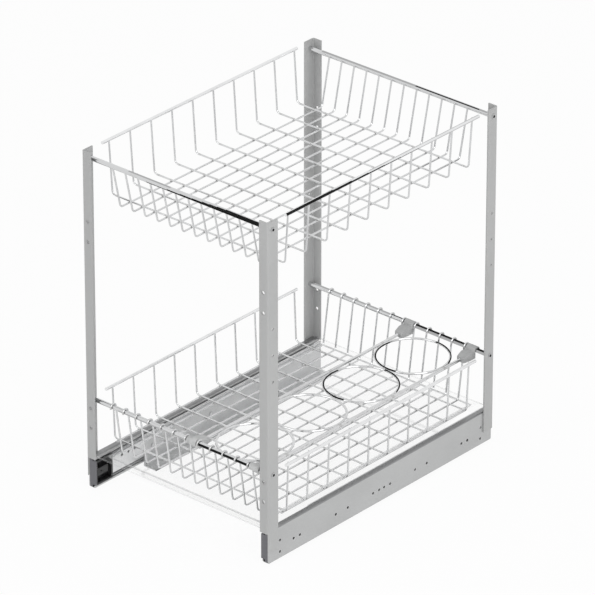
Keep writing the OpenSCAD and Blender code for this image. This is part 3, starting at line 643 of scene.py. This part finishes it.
def flag(name, cloth, add, kept, **where):
    """A narrow flag, bent round the metal, that only mirror-like metal sees."""
    bent = start(add, **where)
    choose(bent, "FACE", lambda at, out: not kept(at))
    bpy.ops.mesh.delete(type="FACE")
    bpy.ops.object.mode_set(mode="OBJECT")
    bent.name = name
    bent.visible_camera = False
    bent.visible_diffuse = False
    bent.visible_shadow = False
    bent.visible_transmission = False
    bent.data.materials.append(cloth)


def straight_flag(name, cloth, along, ends, across, z, metal_r, band):
    """A flag by a straight rod, mirrored in a band of its seen width: -1 its upper edge, 1 its lower."""
    flag_r = metal_r + (black_off if cloth is black_cloth else grey_off)
    sideways = math.cos(azimuth) if along == "X" else math.sin(azimuth)
    seen_from = math.degrees(math.atan2(sideways * math.cos(elevation), math.sin(elevation)))
    low, high = [math.degrees(2 * math.asin(edge) - math.asin(metal_r / flag_r * edge)) for edge in band]
    halfway = (ends[0] + ends[1]) / 2

    def kept(at):
        outwards = across - at.y if along == "X" else at.x - across
        return low < math.degrees(math.atan2(outwards, at.z - z)) - seen_from < high

    flag(name, cloth, bpy.ops.mesh.primitive_cylinder_add, kept, vertices=120, radius=flag_r,
         depth=ends[1] - ends[0], end_fill_type="NOTHING",
         location=(halfway, across, z) if along == "X" else (across, halfway, z),
         rotation=(0, math.pi / 2, 0) if along == "X" else (math.pi / 2, 0, 0))


# Each flag: its cloth, its two ends in mm along the metal, and its band of the seen width.
rod_r, rod_top_z = 3.5 * MM, 536 * MM
rod_flags = {
    ("upper_front", rod_y, rod_top_z): (
        (grey_cloth, -95, -15, -0.95, -0.35), (black_cloth, -60, -20, 0.75, 1), (black_cloth, -20, 5, 0.5, 1),
        (black_cloth, 5, 28, 0.35, 1), (black_cloth, 28, 46, 0.15, 1), (black_cloth, 46, 60, -0.05, 1),
        (black_cloth, 60, 74, -0.25, 1), (black_cloth, 74, 90, -0.45, 1), (black_cloth, 90, 172, -0.65, 1)),
    ("upper_back", -rod_y, rod_top_z): (
        (grey_cloth, -150, 165, -1, -0.2), (black_cloth, 30, 150, -0.75, -0.3)),
    ("lower_front", rod_y, rod_z): ((black_cloth, 34, 136, -0.1, 0.95), (grey_cloth, -120, 20, 0.5, 1)),
    ("lower_back", -rod_y, rod_z): (
        (grey_cloth, -165, -12, -1, -0.3), (black_cloth, -12, 24, -0.95, -0.55),
        (black_cloth, 24, 172, -1, -0.15), (grey_cloth, 24, 172, -0.15, 1))}
for (rod, y, z), streaks in rod_flags.items():
    for number, (cloth, left, right, upper, lower) in enumerate(streaks, 1):
        ends = (left * MM, right * MM)
        straight_flag(f"{rod}_flag_{number}", cloth, "X", ends, y, z, rod_r, (upper, lower))

rim_r, rim_x, rim_z = 2.5 * MM, 173.5 * MM, 546.5 * MM
rim_flags = (
    (black_cloth, -212, -110, -0.7, 0.9), (black_cloth, -110, -70, -0.4, 0.9),
    (black_cloth, -70, -35, -0.1, 0.85), (black_cloth, -35, 0, 0.2, 0.8),
    (black_cloth, 0, 35, 0.4, 0.8), (black_cloth, 35, 75, 0.6, 0.85),
    (grey_cloth, -30, 210, -1, -0.6), (grey_cloth, 70, 210, 0.6, 1))
for number, (cloth, near, far, upper, lower) in enumerate(rim_flags, 1):
    ends = (near * MM, far * MM)
    straight_flag(f"right_rim_flag_{number}", cloth, "Y", ends, rim_x, rim_z, rim_r, (upper, lower))

ring_x, ring_r, ring_flag_r = (rack_left + rack_right) / 2, 55.4 * MM, 2.5 * MM
dark_arcs = ((127, 115), (333, 77))     # first point and length, in degrees round the ring
dark_band = (-14, 134)                  # degrees round the wire, from where it faces the camera


def ring_side(at, ring_y):
    """Keeps the flag of a ring to the right of its wire as seen, on the ring's left and right sides."""
    out = Vector((at.x - ring_x, at.y - ring_y, 0)).normalized()
    along = Vector((-out.y, out.x, 0))
    facing = to_camera - along * to_camera.dot(along)
    sideways = along.cross(facing)
    if sideways.dot(to_right) < 0:
        sideways.negate()
    beside = at - Vector((ring_x, ring_y, rail_z)) - out * ring_r
    turned = math.degrees(math.atan2(beside.dot(sideways), beside.dot(facing)))
    backwards = Vector((0, 0, 1)).cross(to_right)
    round_ring = math.degrees(math.atan2(out.dot(backwards), out.dot(to_right)))
    on_arc = any((round_ring - first) % 360 < length for first, length in dark_arcs)
    return on_arc and dark_band[0] < turned < dark_band[1]


for number in (1, 2):
    ring_y = ring_pitch * (2.5 - number)
    flag(f"ring_{number}_flag", black_cloth, bpy.ops.mesh.primitive_torus_add,
         lambda at: ring_side(at, ring_y), major_segments=90, minor_segments=24,
         major_radius=ring_r, minor_radius=ring_flag_r, location=(ring_x, ring_y, rail_z))


# ---------- Camera ----------
# A long lens, turned 41 degrees to the object's right and 27 degrees above it.

camera = bpy.data.cameras.new("camera")
camera.lens = 390.2
camera.sensor_width = 36
camera.clip_end = 100
stand = bpy.data.objects.new("camera", camera)
bpy.context.scene.collection.objects.link(stand)
stand.location = (5.462, -6.2272, 4.574)
stand.rotation_euler = (-to_camera).to_track_quat("-Z", "Y").to_euler()
bpy.context.scene.camera = stand
bpy.context.scene.view_settings.view_transform = "Standard"
